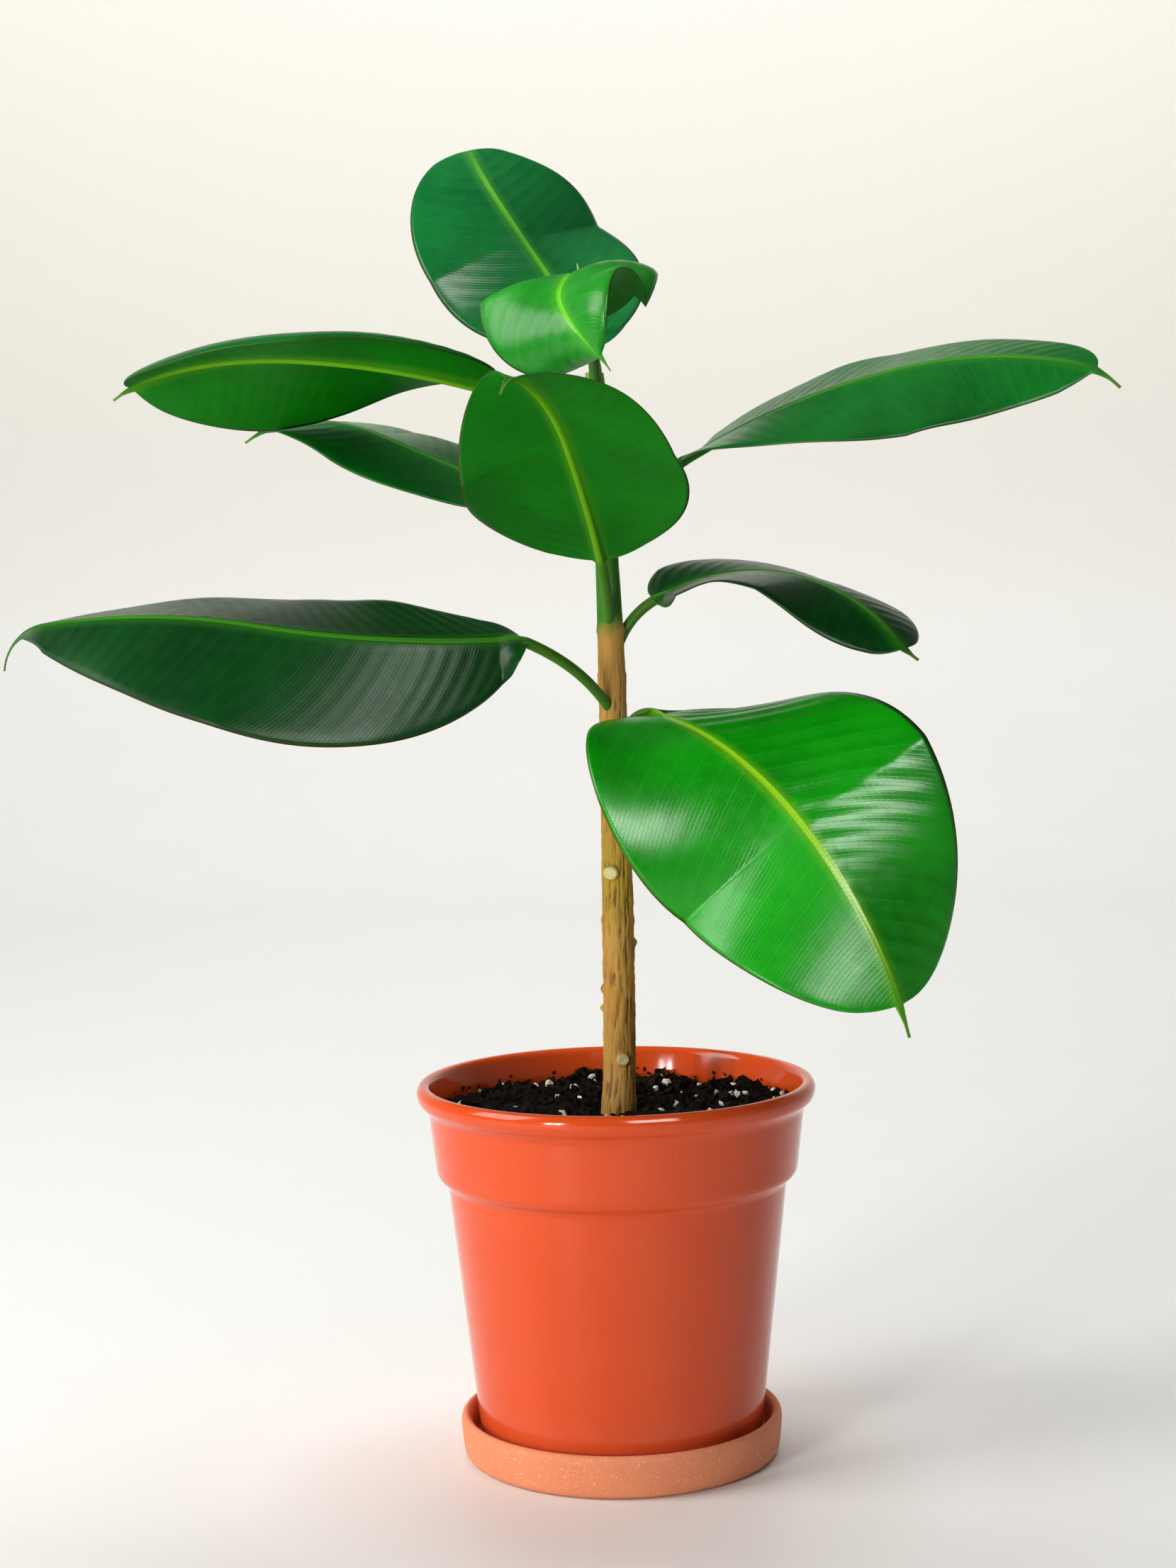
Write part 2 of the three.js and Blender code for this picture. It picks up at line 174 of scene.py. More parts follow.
# %% Finish helpers
class Finish:
    """One material with a Principled shader, built node by node."""

    def __init__(self, name):
        self.material = bpy.data.materials.new(name)
        self.material.use_nodes = True
        self.tree = self.material.node_tree
        self.shader = self.tree.nodes["Principled BSDF"]
        self.place = self.add("ShaderNodeTexCoord").outputs["Object"]

    def plug(self, socket, value):
        if isinstance(value, bpy.types.NodeSocket):
            self.tree.links.new(value, socket)
        elif hasattr(socket.default_value, "__len__") and len(socket.default_value) == 4:
            socket.default_value = (*value, 1.0)[:4]
        else:
            socket.default_value = value

    def add(self, kind, inputs=None, **settings):
        node = self.tree.nodes.new(kind)
        for key, value in settings.items():
            setattr(node, key, value)
        for key, value in (inputs or {}).items():
            self.plug(node.inputs[key], value)
        return node

    def attribute(self, name):
        return self.add("ShaderNodeAttribute", attribute_name=name).outputs["Fac"]

    def height(self):
        return self.add("ShaderNodeSeparateXYZ", {0: self.place}).outputs["Z"]

    def math(self, operation, a, b):
        return self.add("ShaderNodeMath", {0: a, 1: b}, operation=operation).outputs[0]

    def mix(self, share, a, b):
        node = self.add("ShaderNodeMix", data_type="RGBA")
        for socket, value in ((node.inputs[0], share), (node.inputs[6], a), (node.inputs[7], b)):
            self.plug(socket, value)
        return node.outputs[2]

    def step(self, value, start, end, low=0.0, high=1.0):
        inputs = {0: value, 1: start, 2: end, 3: low, 4: high}
        return self.add("ShaderNodeMapRange", inputs, interpolation_type="SMOOTHSTEP").outputs[0]

    def noise(self, scale, detail=4.0, roughness=0.55, stretch=None):
        where = self.place
        if stretch:
            where = self.add("ShaderNodeMapping", {"Vector": self.place, "Scale": stretch}).outputs[0]
        inputs = {"Vector": where, "Scale": scale, "Detail": detail, "Roughness": roughness}
        return self.add("ShaderNodeTexNoise", inputs).outputs["Fac"]

    def finish(self, colour, roughness, height=None, bump=0.2, depth=0.0005, **constants):
        self.plug(self.shader.inputs["Base Color"], colour)
        self.plug(self.shader.inputs["Roughness"], roughness)
        if height is not None:
            inputs = {"Height": height, "Strength": bump, "Distance": depth}
            normal = self.add("ShaderNodeBump", inputs).outputs[0]
            self.plug(self.shader.inputs["Normal"], normal)
        for key, value in constants.items():
            self.shader.inputs[key.replace("_", " ")].default_value = value
        return self.material


print("finish helpers:", [key for key in vars(Finish) if not key.startswith("_")])

# %% [markdown]
# ## Room
# A plain pale floor that curves up into a pale wall all round, like a photographer's round
# sweep, so that every side of the plant has a quiet background. It is one turned profile, moved
# forward, so that the wall behind the plant is near and lit and the rest is far and dim. From
# 1.5 m up the wall fades to dark grey: painted shade, for a dim room overhead. The floor
# has a satin finish, as a painted table top has, with a soft reflection under the saucer.

# %% Build the round sweep
SWEEP = {"floor": 4300, "bend": 700, "wall": 2600, "forward": 2000, "around": 96}


def turned(profile, around):
    """Rings of points from [radius, height] rows, counter-clockwise seen from above."""
    turn = np.arange(around) / around * 2 * math.pi
    profile = np.asarray(profile, float)
    radius, height = profile[:, :1], profile[:, 1:2]
    return np.stack([radius * np.cos(turn), radius * np.sin(turn), height + 0 * turn], -1)


floor_finish = Finish("pale_floor")
grain = floor_finish.noise(9.0, 3.0)
pale = floor_finish.mix(grain, (0.86, 0.86, 0.84), (0.89, 0.89, 0.87))
high = floor_finish.height()
pale = floor_finish.mix(floor_finish.step(high, 0.05, 0.8), pale, (0.8, 0.78, 0.72))
# painted shade: from 1.5 m up the wall fades to dark grey, for a dim room overhead
pale = floor_finish.mix(floor_finish.step(high, 1.5, 2.4), pale, (0.12, 0.12, 0.12))
floor_rough = floor_finish.step(grain, 0.3, 0.7, 0.42, 0.5)
floor_finish.finish(pale, floor_rough, floor_finish.noise(220.0, 2.0), bump=0.02, Specular_IOR_Level=0.25)

arc = np.linspace(0, math.pi / 2, 16)
sweep = [[1, 0], [600, 0], [SWEEP["floor"], 0]]
sweep += [[SWEEP["floor"] + SWEEP["bend"] * math.sin(a), SWEEP["bend"] * (1 - math.cos(a))] for a in arc[1:]]
sweep += [[SWEEP["floor"] + SWEEP["bend"], SWEEP["wall"]]]
rings = turned(sweep, SWEEP["around"]) - np.array([0, SWEEP["forward"], 0])
sweep_faces = [tuple(face[::-1]) for face in grid_faces(*rings.shape[:2])]
sweep_faces.append(tuple(range(SWEEP["around"])))
floor = mesh_object("round_sweep", rings, sweep_faces, [floor_finish.material])
print("sweep radius", SWEEP["floor"] + SWEEP["bend"], "mm")

# %% [markdown]
# ## Light
# Daylight comes softly from the left, as from a wide window, and leaves the right side of the pot
# in shade. Two narrow gaps beside it, low down, give the pot its upright streaks. A card on the
# right only shows in gloss, and a ceiling panel only lights matt surfaces: like a photographer's
# flags, this puts the shine where it is wanted. A last panel lights the wall behind. The rest of the
# room is dim, with a faint world light and the top of the wall painted dark as painted shade, so
# that glossy leaves keep their deep colour.

# %% Hang the lights
DAYLIGHT, WHITE = (1.0, 0.985, 0.96), (1.0, 1.0, 1.0)
PLANT_HEART = (0, 0, 0.3)


def round_the_plant(bearing, height, away):
    """A place at a compass bearing (degrees, -90 is the viewer) and a height angle above the pot."""
    bearing, height = math.radians(bearing), math.radians(height)
    level = away * math.cos(height)
    return (level * math.cos(bearing), level * math.sin(bearing), PLANT_HEART[2] + away * math.sin(height))


def soft_panel(name, place, size, power, tint, aim=PLANT_HEART, in_gloss=True, on_matt=True):
    """An area light in metres and watts, which can be kept out of gloss or off matt surfaces."""
    light = bpy.data.lights.new(name, "AREA")
    light.shape = "RECTANGLE"
    light.size, light.size_y = size
    light.energy = power
    light.color = tint
    lamp = bpy.data.objects.new(name, light)
    lamp.location = place
    lamp.rotation_euler = (Vector(aim) - Vector(place)).to_track_quat("-Z", "Y").to_euler()
    lamp.visible_camera = False
    lamp.visible_glossy, lamp.visible_diffuse = in_gloss, on_matt
    bpy.context.collection.objects.link(lamp)


soft_panel("window_side", round_the_plant(-165, 30, 1.9), (1.0, 1.2), 27, DAYLIGHT)
for k, bearing in enumerate((-127, -121.5)):
    soft_panel(f"window_gap_{k}", round_the_plant(bearing, 5, 1.8), (0.07, 0.56), 9, DAYLIGHT)
soft_panel("window_right", round_the_plant(-68, 30, 1.9), (0.85, 0.75), 30, DAYLIGHT, on_matt=False)
soft_panel("ceiling_panel", (0.1, 0.5, 2.2), (1.4, 0.8), 24, WHITE, in_gloss=False)
soft_panel("backdrop_panel", (0.0, 1.5, 2.3), (3.2, 0.4), 39, WHITE, aim=(0, 3.0, 1.4))

world = bpy.data.worlds.new("dim_room")
bpy.context.scene.world = world
world.use_nodes = True
world.node_tree.nodes["Background"].inputs["Color"].default_value = (0.95, 0.97, 1.0, 1)
world.node_tree.nodes["Background"].inputs["Strength"].default_value = 0.1
bpy.context.scene.view_settings.view_transform = "Standard"
bpy.context.scene.view_settings.look = "None"

# %% [markdown]
# ## Saucer
# The saucer is pressed and fired clay with no glaze: pale orange, dry, with tiny pits, a softly
# rounded lip and a foot that is darker in patches. It is turned on a wheel, so it is made the same
# way here: one profile, its corners rounded, spun about the upright axis.

# %% Turn the saucer
AROUND = 160
SAUCER = [
    # radius, height, rounding of the corner
    (72.5, 0, 1.0), (75.2, 1.6, 2.0), (76.2, 7, 2.0), (77, 16.8, 2.0), (76.4, 19.4, 1.4),
    (74.6, 20.8, 1.2), (72.8, 19.6, 1.4), (72, 17.3, 2.0), (71, 8, 2.0), (69.4, 6, 1.6),
]


def rounded(corners, steps=4):
    """Cuts each corner of an open outline with a small curve of the given size."""
    path = []
    for k, (r, z, size) in enumerate(corners):
        here = np.array([r, z], float)
        if k in (0, len(corners) - 1) or size <= 0:
            path.append(here)
            continue
        before, after = np.array(corners[k - 1][:2], float), np.array(corners[k + 1][:2], float)
        back, on = before - here, after - here
        size = min(size, np.linalg.norm(back) * 0.45, np.linalg.norm(on) * 0.45)
        start = here + back / np.linalg.norm(back) * size
        end = here + on / np.linalg.norm(on) * size
        for t in np.linspace(0, 1, steps):
            path.append((1 - t) ** 2 * start + 2 * t * (1 - t) * here + t * t * end)
    return np.array(path)


def turned_piece(name, corners, finish, underside, inside, ripple):
    """A turned piece that closes on the axis below and inside; ripple takes its rings off true."""
    first = [[r, underside] for r in (2, corners[0][0] * 0.5, corners[0][0] * 0.9)]
    last = [[r, inside] for r in (corners[-1][0] * 0.9, corners[-1][0] * 0.5, 2)]
    rings = turned(np.concatenate([first, rounded(corners), last]), AROUND)
    points, faces = loft(ripple(rings))
    return mesh_object(name, points, faces, [finish])


clay = Finish("clay_finish")
cloud = clay.noise(28.0, 5.0, 0.6)
speck = clay.noise(900.0, 2.0, 0.6)
clay_colour = clay.mix(cloud, (0.66, 0.19, 0.08), (0.8, 0.28, 0.13))
clay_colour = clay.mix(clay.step(speck, 0.6, 0.72), clay_colour, (0.9, 0.5, 0.3))
# darker in patches over the bottom 6 mm of the saucer
dark_foot = clay.math("MULTIPLY", clay.step(clay.height(), 0.006, 0.0, 0.0, 0.5), clay.noise(60.0))
clay_colour = clay.mix(dark_foot, clay_colour, (0.42, 0.2, 0.11))
clay_height = clay.math("ADD", speck, clay.math("MULTIPLY", clay.noise(260.0), 0.8))
clay.finish(clay_colour, clay.step(cloud, 0.2, 0.8, 0.72, 0.88), clay_height, bump=0.35)


def off_true(rings, swell):
    """Rings whose points have moved outward by swell, in millimetres."""
    radius = np.maximum(np.hypot(rings[..., 0], rings[..., 1]), 1)
    rings = rings.copy()
    rings[..., :2] *= (1 + swell / radius)[..., None]
    return rings


def wheel_marks(rings):
    """A slight wobble, as left by the press and the kiln, strongest at the wall."""
    turn = np.arctan2(rings[..., 1], rings[..., 0])
    out_to_wall = np.hypot(rings[..., 0], rings[..., 1]) / 77
    return off_true(rings, (0.12 * np.sin(2 * turn + 0.6) + 0.06 * np.sin(5 * turn)) * out_to_wall ** 2)


saucer = turned_piece("clay_saucer", SAUCER, clay.material, 0.0, 6.0, wheel_marks)
stand_for(saucer, "saucer")

# %% [markdown]
# ## Pot
# A moulded nursery pot: thin glossy plastic, a tall collar over a tapered body, and a rolled rim.
# The finish is nearly even, with a fine mould texture, a little dust low down and hairline
# scuffs that run with the height. It is one turned profile; six drain holes are cut in the floor.

# %% Turn the pot
POT = [
    (63.5, 6.3, 0.5), (66.1, 7.5, 1.6), (67.4, 10.8, 2.4), (80.8, 131, 2.0), (82, 133, 0.8),
    (85.2, 135.6, 1.4), (86.2, 138, 2.0), (89.4, 166, 1.6), (90.8, 168.6, 1.4), (94, 171.2, 1.8),
    (95, 174.2, 1.6), (95, 176.8, 1.8), (93.6, 179.2, 1.2), (92, 179.8, 1.2), (89.5, 179.2, 1.0),
    (88.5, 177.4, 1.0), (86.2, 168, 1.6), (83, 137, 1.8), (77.2, 131, 1.8), (64.9, 13.3, 1.8),
    (62.5, 10.3, 1.2),
]

plastic = Finish("pot_plastic_finish")
shade = plastic.noise(14.0, 3.0)
scuff = plastic.noise(60.0, 3.0, 0.6, (6.0, 6.0, 0.5))
pot_colour = plastic.mix(shade, (0.6, 0.058, 0.008), (0.68, 0.078, 0.012))
pot_colour = plastic.mix(plastic.step(scuff, 0.62, 0.85, 0.0, 0.1), pot_colour, (0.85, 0.3, 0.15))
dust = plastic.math("MULTIPLY", plastic.step(plastic.height(), 0.04, 0.008, 0.0, 0.14), plastic.noise(90.0))
pot_colour = plastic.mix(dust, pot_colour, (0.62, 0.4, 0.28))
pot_rough = plastic.math("ADD", plastic.step(scuff, 0.4, 0.8, 0.1, 0.16), dust)
pot_height = plastic.noise(650.0, 2.0)
plastic.finish(pot_colour, pot_rough, pot_height, bump=0.03, IOR=1.42)


def moulded(rings):
    """The slight unevenness of a thin moulded wall, between its floor and its step."""
    turn = np.arctan2(rings[..., 1], rings[..., 0])
    wall = np.clip((rings[..., 2] - 15) / 60, 0, 1) * np.clip((128 - rings[..., 2]) / 30, 0, 1)
    return off_true(rings, 0.18 * np.sin(3 * turn + 0.4) * wall)


pot = turned_piece("plastic_pot", POT, plastic.material, 6.3, 10.3, moulded)

# %% Cut the drain holes
DRAIN = {"count": 6, "ring": 42, "radius": 5, "low": 3, "high": 14}


def cut_holes(thing, count, ring, radius, low, high):
    for k in range(count):
        angle = k / count * 2 * math.pi
        column = turned([[radius, low], [radius, high]], 20)
        column = column + np.array([ring * math.cos(angle), ring * math.sin(angle), 0])
        points, faces = loft(column)
        tool = mesh_object(f"drill_{k}", points, faces, [], smooth=False)
        cut = thing.modifiers.new(f"hole_{k}", "BOOLEAN")
        cut.object, cut.operation, cut.solver = tool, "DIFFERENCE", "EXACT"
    bake_modifiers(thing)
    for k in range(count):
        bpy.data.objects.remove(bpy.data.objects[f"drill_{k}"])


def bake_modifiers(thing):
    """Turns the evaluated shape into a plain mesh and drops the modifiers."""
    shape = bpy.data.meshes.new_from_object(thing.evaluated_get(bpy.context.evaluated_depsgraph_get()))
    thing.modifiers.clear()
    thing.data = shape


cut_holes(pot, **DRAIN)
stand_for(pot, "pot")

# %% [markdown]
# ## Stem
# The trunk is bark-brown and cracked lengthways below, olive and then green and smooth above, with
# a ring where each leaf was or is. Two pale round cuts show where shoots were pruned. The stem is a
# loft of fine rings along its height; cracks, rings, cuts and spurs are all real relief, from a few
# tenths of a millimetre to two millimetres, worked out from smooth noise and a short list of marks.

# %% Plan the stem
STEM = np.array([
    # height, sideways shift, radius
    (122, 1.0, 7.0), (156, 1.0, 7.6), (164, 1.2, 8.4), (176, 1.8, 7.7), (215, 2.4, 7.5),
    (253, 2.5, 7.4), (256, 2.5, 8.1), (259, 2.5, 7.3), (310, 2.5, 7.0), (362, 1.9, 6.5),
    (372, 1.8, 6.9), (376, 1.7, 6.4), (390, 1.5, 6.2), (393, 1.5, 6.8), (397, 1.3, 6.1),
    (424, 0.5, 5.5), (450, -0.5, 5.5), (484, -2.4, 5.0), (506, -3.4, 4.8), (514, -3.9, 4.4),
])
# each cut and spur: height, compass direction, reach from the axis, size
CUTS = [(279, -112, 9.4, 3.6), (190, -78, 9.2, 3.0)]
SPURS = [(245, 2, 9.0, 2.6), (214, 184, 9.2, 2.2), (223, 182, 8.8, 2.6), (286, -118, 7.6, 1.4)]
LEAF_SCARS = (391.5, 374, 256, 313)
STEM_AROUND, STEM_STEP = 96, 0.8


def smooth_step(x, start, end):
    t = np.clip((x - start) / (end - start), 0, 1)
    return t * t * (3 - 2 * t)


def relief(points, scale, octaves=4):
    """Fractal noise, about -1 to 1, at each point."""
    return np.array([noise.fractal(Vector(p) * scale, 0.9, 2.0, octaves) for p in points])


def bark_relief(zz, aa):
    """Long cracks and fine grain over the stem, each about -1 to 1."""
    on_skin = np.stack([np.cos(aa) * 7, np.sin(aa) * 7, zz * 0.11], -1).reshape(-1, 3)
    cracks = relief(on_skin, 0.7).reshape(zz.shape)
    grain = relief(on_skin * [1, 1, 2.5] + 30, 1.1, 3).reshape(zz.shape)
    return cracks, grain


def stem_surface():
    """Rings of points up the stem, with the share of each point that is a pruning cut or a crack."""
    z = np.arange(STEM[0, 0], STEM[-1, 0] + 0.01, STEM_STEP)
    turn = np.arange(STEM_AROUND) / STEM_AROUND * 2 * math.pi
    shift, radius = (np.interp(z, STEM[:, 0], STEM[:, column])[:, None] for column in (1, 2))
    zz, aa = np.meshgrid(z, turn, indexing="ij")
    bark = 1 - smooth_step(zz, 330, 400)
    cracks, grain = bark_relief(zz, aa)
    out = radius + bark * (0.42 * cracks + 0.2 * grain) + (1 - bark) * 0.08 * grain
    out -= bark * 0.35 * smooth_step(-cracks, 0.15, 0.5)
    cut_mask = np.zeros_like(zz)
    for k, (height, direction, reach, size) in enumerate(CUTS + SPURS):
        is_cut = k < len(CUTS)
        around = (aa - math.radians(direction) + math.pi) % (2 * math.pi) - math.pi
        away = np.hypot(around * 7.4, zz - height)
        plateau = 1 - smooth_step(away, size * (0.75 if is_cut else 0.1), size * 1.15)
        hollow = 0.5 * smooth_step(size * 0.7 - away, 0, 1) if is_cut else 0
        out = out * (1 - plateau) + plateau * (reach - hollow)
        if is_cut:
            cut_mask = np.maximum(cut_mask, 1 - smooth_step(away, size * 0.72, size * 0.92))
    for height in LEAF_SCARS:
        out -= 0.22 * np.exp(-((zz - height + 0.4 * np.sin(aa)) / 0.5) ** 2)
    rings = np.stack([shift + out * np.cos(aa), out * np.sin(aa), zz], -1)
    return rings, cut_mask, cracks


print("stem plan:", len(STEM), "heights,", len(CUTS), "cuts,", len(SPURS), "spurs")

# %% Skin the stem
def bark_finish():
    """Bark below, an olive belt, then green skin, each where the height and a slow noise put it."""
    f = Finish("stem_finish")
    patch = f.noise(55.0, 5.0, 0.6, (1, 1, 0.35))
    streak = f.noise(240.0, 4.0, 0.65, (1, 1, 0.12))
    sway = f.math("MULTIPLY", f.math("SUBTRACT", patch, 0.5), 0.05)
    up = f.math("ADD", f.height(), sway)
    brown = f.mix(streak, (0.25, 0.12, 0.02), (0.62, 0.34, 0.07))
    brown = f.mix(f.step(patch, 0.5, 0.7, 0, 0.5), brown, (0.6, 0.38, 0.13))
    olive = f.mix(streak, (0.28, 0.18, 0.012), (0.5, 0.34, 0.035))
    green = f.mix(patch, (0.012, 0.1, 0.002), (0.04, 0.2, 0.006))
    belt = f.math("MULTIPLY", f.step(up, 0.245, 0.27), f.step(up, 0.32, 0.29))
    skin = f.mix(f.math("MULTIPLY", belt, 0.75), brown, olive)
    skin = f.mix(f.step(up, 0.384, 0.4), skin, green)
    skin = f.mix(f.step(up, 0.45, 0.5), skin, (0.16, 0.38, 0.04))
    # painted shade: the sunken cracks are darkened to near black brown
    skin = f.mix(f.step(f.attribute("crack"), -0.1, -0.6, 0.0, 0.7), skin, (0.09, 0.05, 0.018))
    skin = f.mix(f.attribute("cut"), skin, (0.62, 0.55, 0.24))
    bumps = f.math("ADD", streak, f.math("MULTIPLY", f.noise(700.0), 0.5))
    return f.finish(skin, f.step(up, 0.38, 0.42, 0.82, 0.42), bumps, bump=0.35, depth=0.0004, IOR=1.3)


rings, cut_mask, cracks = stem_surface()
points, faces = loft(rings)
cracked = cracks * (1 - smooth_step(rings[..., 2], 340, 392))
attributes = {"cut": np.append(cut_mask, [0, 0]), "crack": np.append(cracked, [0, 0])}
stem = mesh_object("stem_and_bark", points, faces, [bark_finish()], attributes)
stand_for(stem, "stem")

# %% [markdown]
# ## Bud
# The growing tip is wrapped in a pointed sheath, bright green and smooth, a little twisted and
# leaning. It is a loft of round rings that swell and then taper to a point.

# %% Loft the bud
BUD = {"foot": 514.3, "length": 51, "radius": 2.9, "x": -4, "y": 2.2, "lean": -7, "rings": 40, "around": 32}
bud_finish = Finish("bud_finish")
up = bud_finish.step(bud_finish.height(), 0.515, 0.56)
bud_colour = bud_finish.mix(up, (0.13, 0.33, 0.04), (0.42, 0.66, 0.16))
bud_colour = bud_finish.mix(bud_finish.noise(500.0, 3.0, 0.6, (1, 1, 0.08)), bud_colour, (0.3, 0.5, 0.1))
bud_finish.finish(bud_colour, 0.35, bud_finish.noise(900.0, 2.0, 0.5, (1, 1, 0.1)), bump=0.15)

bud_rings = []
for t in np.linspace(0, 1, BUD["rings"]):
    swell = BUD["radius"] * max(0.09, math.sin(math.pi * (0.28 + 0.7 * t)) ** 0.9)
    turn = np.arange(BUD["around"]) / BUD["around"] * 2 * math.pi
    seam = 1 - 0.08 * np.exp(-((np.sin((turn - 2.2 * t) / 2)) ** 2) * 60)
    x = BUD["x"] + BUD["lean"] * t ** 1.4 + swell * seam * np.cos(turn)
    y = BUD["y"] + swell * seam * np.sin(turn)
    bud_rings.append(np.stack([x, y, BUD["foot"] + BUD["length"] * t + 0 * turn], -1))
points, faces = loft(bud_rings)
bud = mesh_object("bud_sheath", points, faces, [bud_finish.material])
stand_for(bud, "terminal_bud")

# %% [markdown]
# ## Leaves: one rule, nine leaves
# A rubber-plant leaf is a stiff oval on a round stalk. Its midrib is a sunken pale line above and a
# raised keel below; fine side veins leave it almost square and bend forward at the margin. Each
# leaf here is one line that leaves the stem and turns steadily (compass direction, slope, twist),
# with a strip across it whose two halves fold and curl. Three angles for each turn are enough: at
# the foot of the blade, half way and at the tip. The numbers are the ones the CAD frame was built
# from, so each leaf lands in its node's place.
#
# z is the height of the leaf's foot; az and el are its compass direction and its slope; stalk, blade
# and width are its sizes; roll is its twist; fold and curl tilt and bend its left and right halves;
# p and q shape the oval; hook turns the drip tip and bend makes a knee where stalk meets blade.

# %% Plan the leaves
LEAVES = {
    "leaf_top_upright": dict(
        z=494, az=(84, 154, 103), el=(75, 41, 55, 42), stalk=40, blade=157, width=108,
        roll=(-16, -23, -9), foldL=(-7, -19, -2), foldR=(11, 0, 3),
        curlL=(-6, -8, -2), curlR=(-1, 0, -1), p=1.04, q=0.57, hook=-75, bend=0),
    "leaf_young_arched": dict(
        z=508, az=(-95, -108, 7), el=(90, 60, -36, -52), stalk=30, blade=118, width=87,
        roll=(23, 6, 115), foldL=(29, 16, 76), foldR=(11, 13, -43),
        curlL=(-51, -85, -62), curlR=(-22, -33, -40), p=0.91, q=0.5, hook=-6, bend=0),
    "leaf_upper_left": dict(
        z=484, az=(207, 174, 142), el=(33, 16, 4, -18), stalk=46, blade=200, width=105,
        roll=(-6, -5, 1), foldL=(59, 39, 11), foldR=(9, -24, -48),
        curlL=(-73, -60, -49), curlR=(7, -26, -39), p=0.86, q=0.57, hook=-7, bend=0),
    "leaf_middle_left": dict(
        z=448.6, az=(178, 158, 148), el=(-1, 26, 23, -22), stalk=36, blade=158, width=82,
        roll=(-21, -6, -2), foldL=(-13, -15, 0), foldR=(7, -3, 0),
        curlL=(0, 0, 0), curlR=(0, 0, 0), p=0.89, q=0.6, hook=-6, bend=0),
    "leaf_front_centre": dict(
        z=398, az=(-95, -106, -117), el=(53, 35, 39, 2), stalk=40, blade=158, width=102,
        roll=(2, 1, -4), foldL=(5, -1, 14), foldR=(4, -8, 18),
        curlL=(-5, -12, 8), curlR=(-7, -29, 13), p=0.86, q=0.66, hook=-58, bend=0),
    "leaf_upper_right": dict(
        z=440, az=(-31, -10, -37), el=(50, 29, 12, -21), stalk=49, blade=213, width=102,
        roll=(10, 15, 21), foldL=(12, -1, 3), foldR=(0, -25, -34),
        curlL=(0, 0, 0), curlR=(0, -2, -3), p=0.89, q=0.58, hook=-24, bend=0),
    "leaf_middle_right": dict(
        z=387, az=(20, -34, -55), el=(68, 30, -16, -50), stalk=27, blade=153, width=91,
        roll=(21, 2, 8), foldL=(18, 1, -2), foldR=(20, -7, -30),
        curlL=(-15, -37, 2), curlR=(-3, 4, 6), p=0.75, q=0.48, hook=25, bend=0),
    "leaf_lower_left": dict(
        z=357, az=(241, 169, 176), el=(39, -3, 10, -13), stalk=65, blade=256, width=111,
        roll=(-35, -19, -18), foldL=(-48, -35, -33), foldR=(-3, -5, -15),
        curlL=(-5, -1, -3), curlR=(-4, -1, -2), p=0.94, q=0.69, hook=-73, bend=23),
    "leaf_lower_right": dict(
        z=329, az=(-67, -38, -13), el=(79, -6, -46, -77), stalk=48, blade=211, width=139,
        roll=(4, 35, 26), foldL=(-5, 9, 0), foldR=(3, -30, -26),
        curlL=(-2, 10, -2), curlR=(8, -9, -9), p=0.83, q=0.39, hook=2, bend=0,
        veins=10.5, ridge={"L": 0.42, "R": 0.04}, wave=0.4),
}
STALK_RADIUS, RIB_END = 2.5, 0.7
TIP_HALF, TIP_FROM = 2.4, 0.93
VEIN_SPACING, VEIN_RIDGE = 8, 0.11
print("leaves:", len(LEAVES), "longest blade", max(leaf["blade"] for leaf in LEAVES.values()), "mm")

# %% [markdown]
# The line of a leaf is walked in short steps, like a turtle: each step goes a little way forward,
# then the direction is read again from the plan. The frame of three directions (forward, side, up)
# comes along and says where the blade lies.

# %% Walk along a leaf
def leaf_line(leaf, steps):
    """Distances, points and (forward, side, up) directions from the leaf's foot to its tip."""
    stalk, blade = leaf["stalk"], leaf["blade"]
    total = stalk + blade
    stops = [0, stalk, stalk + blade / 2, total]
    s = np.linspace(0, total, steps)
    u = (s - stalk) / blade
    az = np.radians(np.interp(s, [0, stops[2], total], leaf["az"]))
    hook = leaf["hook"] * np.clip((u - 0.88) / 0.12, 0, 1)
    knee = leaf["bend"] * np.clip(np.minimum(s / stalk, 1 - (s - stalk) / 12), 0, 1)
    el = np.radians(np.interp(s, stops, leaf["el"]) + hook + knee)
    roll = np.radians(np.interp(s, stops, (0, *leaf["roll"])))[:, None]
    forward = np.stack([np.cos(el) * np.cos(az), np.cos(el) * np.sin(az), np.sin(el)], -1)
    flat = np.stack([-np.sin(az), np.cos(az), 0 * az], -1)
    raised = np.cross(forward, flat)
    side = flat * np.cos(roll) + raised * np.sin(roll)
    up = raised * np.cos(roll) - flat * np.sin(roll)
    foot_x = np.interp(leaf["z"], STEM[:, 0], STEM[:, 1])
    foot = np.array([foot_x + 4 * math.cos(az[0]), 4 * math.sin(az[0]), leaf["z"]])
    walked = np.cumsum((forward[1:] + forward[:-1]) / 2 * (s[1] - s[0]), 0)
    return s, np.concatenate([[foot], foot + walked]), side, up


def half_width(u, leaf):
    """Half the blade's width: a full oval that ends in a narrow drip tip."""
    inside = np.clip(u / TIP_FROM, 1e-9, 1)
    oval = leaf["width"] / 2 * np.maximum(np.sin(math.pi * inside ** leaf["p"]), 1e-9) ** leaf["q"]
    tip = TIP_HALF * np.where(u > 0.9, np.clip((1 - u) / (1 - TIP_FROM), 0, 1.2), 0)
    return np.where(u > 0, np.cbrt(oval ** 3 + tip ** 3), 0)


# %% [markdown]
# Across the leaf, a row of points runs from margin to margin over the top and back underneath. The
# side veins lift the blade in low ridges about 8 mm apart, the margin is rolled slightly under, and
# the whole blade has a slow, uneven wave. These are in the mesh, so light breaks on them truly.

# %% Skin a leaf
LEAF_ALONG, LEAF_ACROSS, STALK_ROWS, LINE_STEPS = 230, 30, 24, 900
HALF_THICK = 0.42


